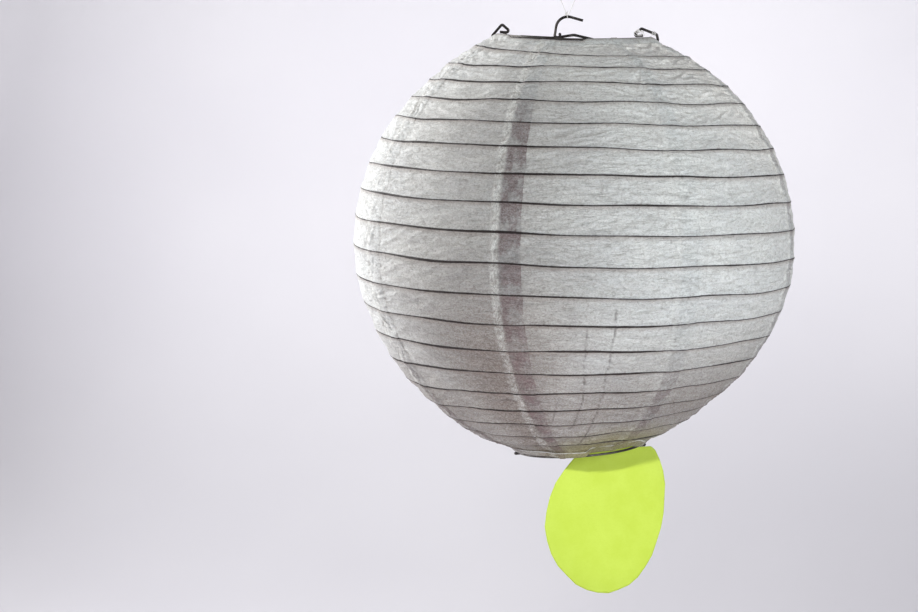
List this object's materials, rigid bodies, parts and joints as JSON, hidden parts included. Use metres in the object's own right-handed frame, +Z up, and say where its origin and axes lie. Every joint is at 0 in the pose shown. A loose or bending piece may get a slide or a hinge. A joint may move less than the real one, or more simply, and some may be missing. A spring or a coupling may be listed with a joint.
{
  "type": "paper lantern",
  "caption": "Round hanging paper lantern of glued gores on a spiral wire rib, with a wire expander and a paper tag under it.",
  "frame": {"origin": "top inside of the thread loop, where the lantern hangs on a hook, nail or rod", "axes": "+Z up; +X along the expander, towards its right arm; -Y is the front"},
  "size_m": [0.3002, 0.3002, 0.4314],
  "materials": {
    "paper": "matt thin tissue paper, off-white, translucent",
    "rib_wire": "dark drawn steel wire",
    "dark_wire": "dark annealed steel wire, dull, worn at the bends",
    "thread": "fine pale sewing thread",
    "tag_card": "fluorescent yellow-green paper, matt"
  },
  "bodies": {
    "hanging_thread": {"thread_loop": "thread", "thread_knot": "thread"},
    "lantern": {"hook_wire": "dark_wire", "tie_wire": "dark_wire", "expander_frame": "dark_wire", "thread_binding": "thread", "top_ring": "rib_wire", "spiral_rib": "rib_wire", "paper_gore_1": "paper", "paper_gore_2": "paper", "paper_gore_3": "paper", "paper_gore_4": "paper", "paper_gore_5": "paper", "paper_gore_6": "paper", "paper_gore_7": "paper", "paper_gore_8": "paper"},
    "lower_ring": {"bottom_ring": "rib_wire"},
    "tag": {"paper_tag": "tag_card"}
  },
  "joints": [
    {"name": "lantern_swing", "type": "hinge", "parent": "hanging_thread", "child": "lantern", "pos_m": [0, 0, -0.035], "axis": [1, 0, 0], "range_deg": [-25, 25]},
    {"name": "collapse", "type": "slide", "parent": "lantern", "child": "lower_ring", "axis": [-0.0195, 0, 0.9998], "range_m": [0, 0.235], "deforming": ["paper_gore_1", "paper_gore_2", "paper_gore_3", "paper_gore_4", "paper_gore_5", "paper_gore_6", "paper_gore_7", "paper_gore_8", "spiral_rib"]},
    {"name": "tag_swing", "type": "hinge", "parent": "lantern", "child": "tag", "pos_m": [0.00985, -0.003, -0.32989], "axis": [0.9971, 0, 0.0767], "range_deg": [-60, 35]}
  ]
}
